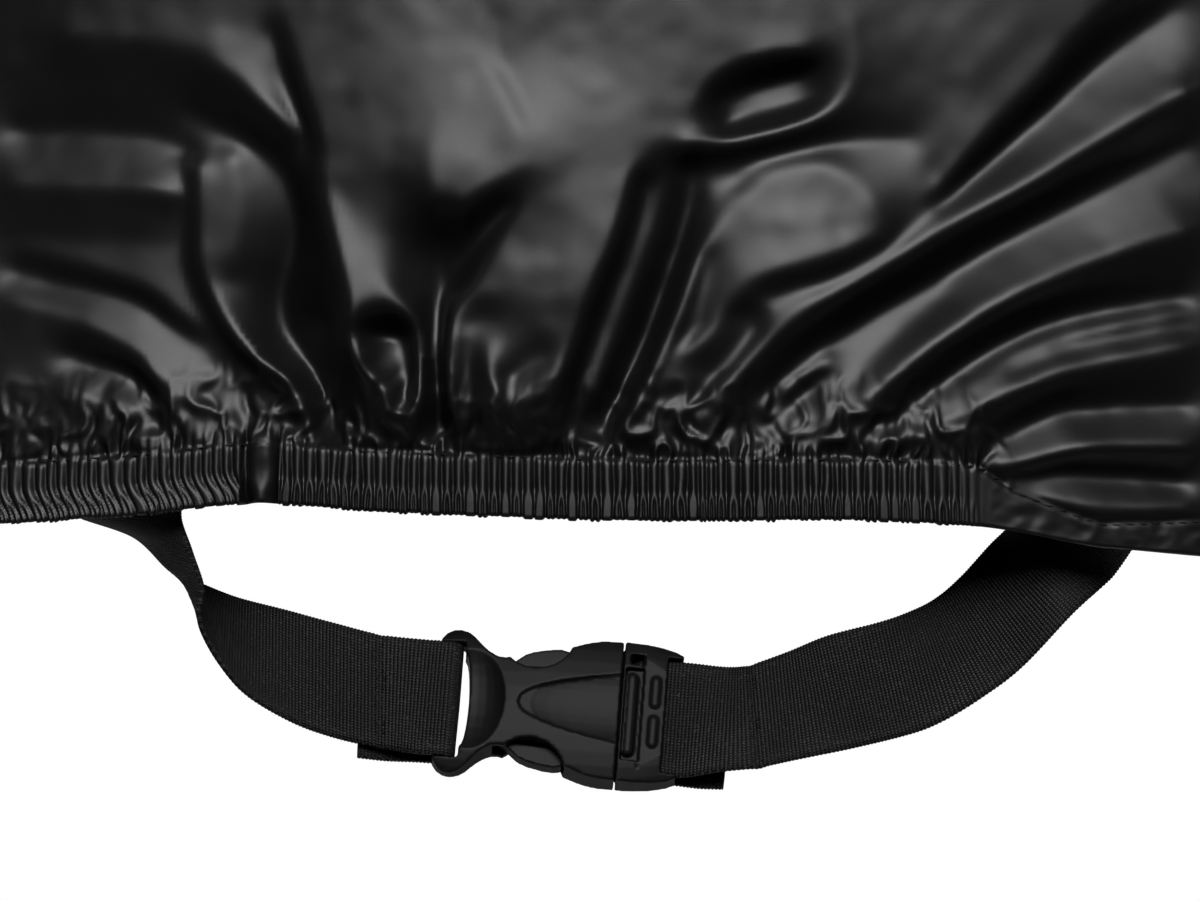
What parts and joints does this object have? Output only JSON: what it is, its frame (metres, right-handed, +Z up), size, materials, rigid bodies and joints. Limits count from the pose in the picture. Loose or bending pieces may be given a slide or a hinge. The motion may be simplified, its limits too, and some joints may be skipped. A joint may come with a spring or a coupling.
{
  "type": "motorcycle cover",
  "caption": "Fitted motorcycle cover of coated cloth, hollow and open below, with an elastic gathered hem and a webbing strap with a side release buckle under the front.",
  "frame": {"origin": "the point under the top, over the middle of the seat, where the cover rests on the machine", "axes": "X across, Y from the front to the rear, Z up"},
  "size_m": [0.8966, 2.0661, 0.9975],
  "materials": {
    "cloth": "semi-gloss coated",
    "webbing": "matte ribbed",
    "buckle": "satin"
  },
  "bodies": {
    "root": {"centre_panel": "cloth", "left_panel": "cloth", "right_panel": "cloth", "strap_left": "webbing", "strap_right": "webbing", "buckle_socket": "buckle", "buckle_prong": "buckle"}
  },
  "joints": []
}
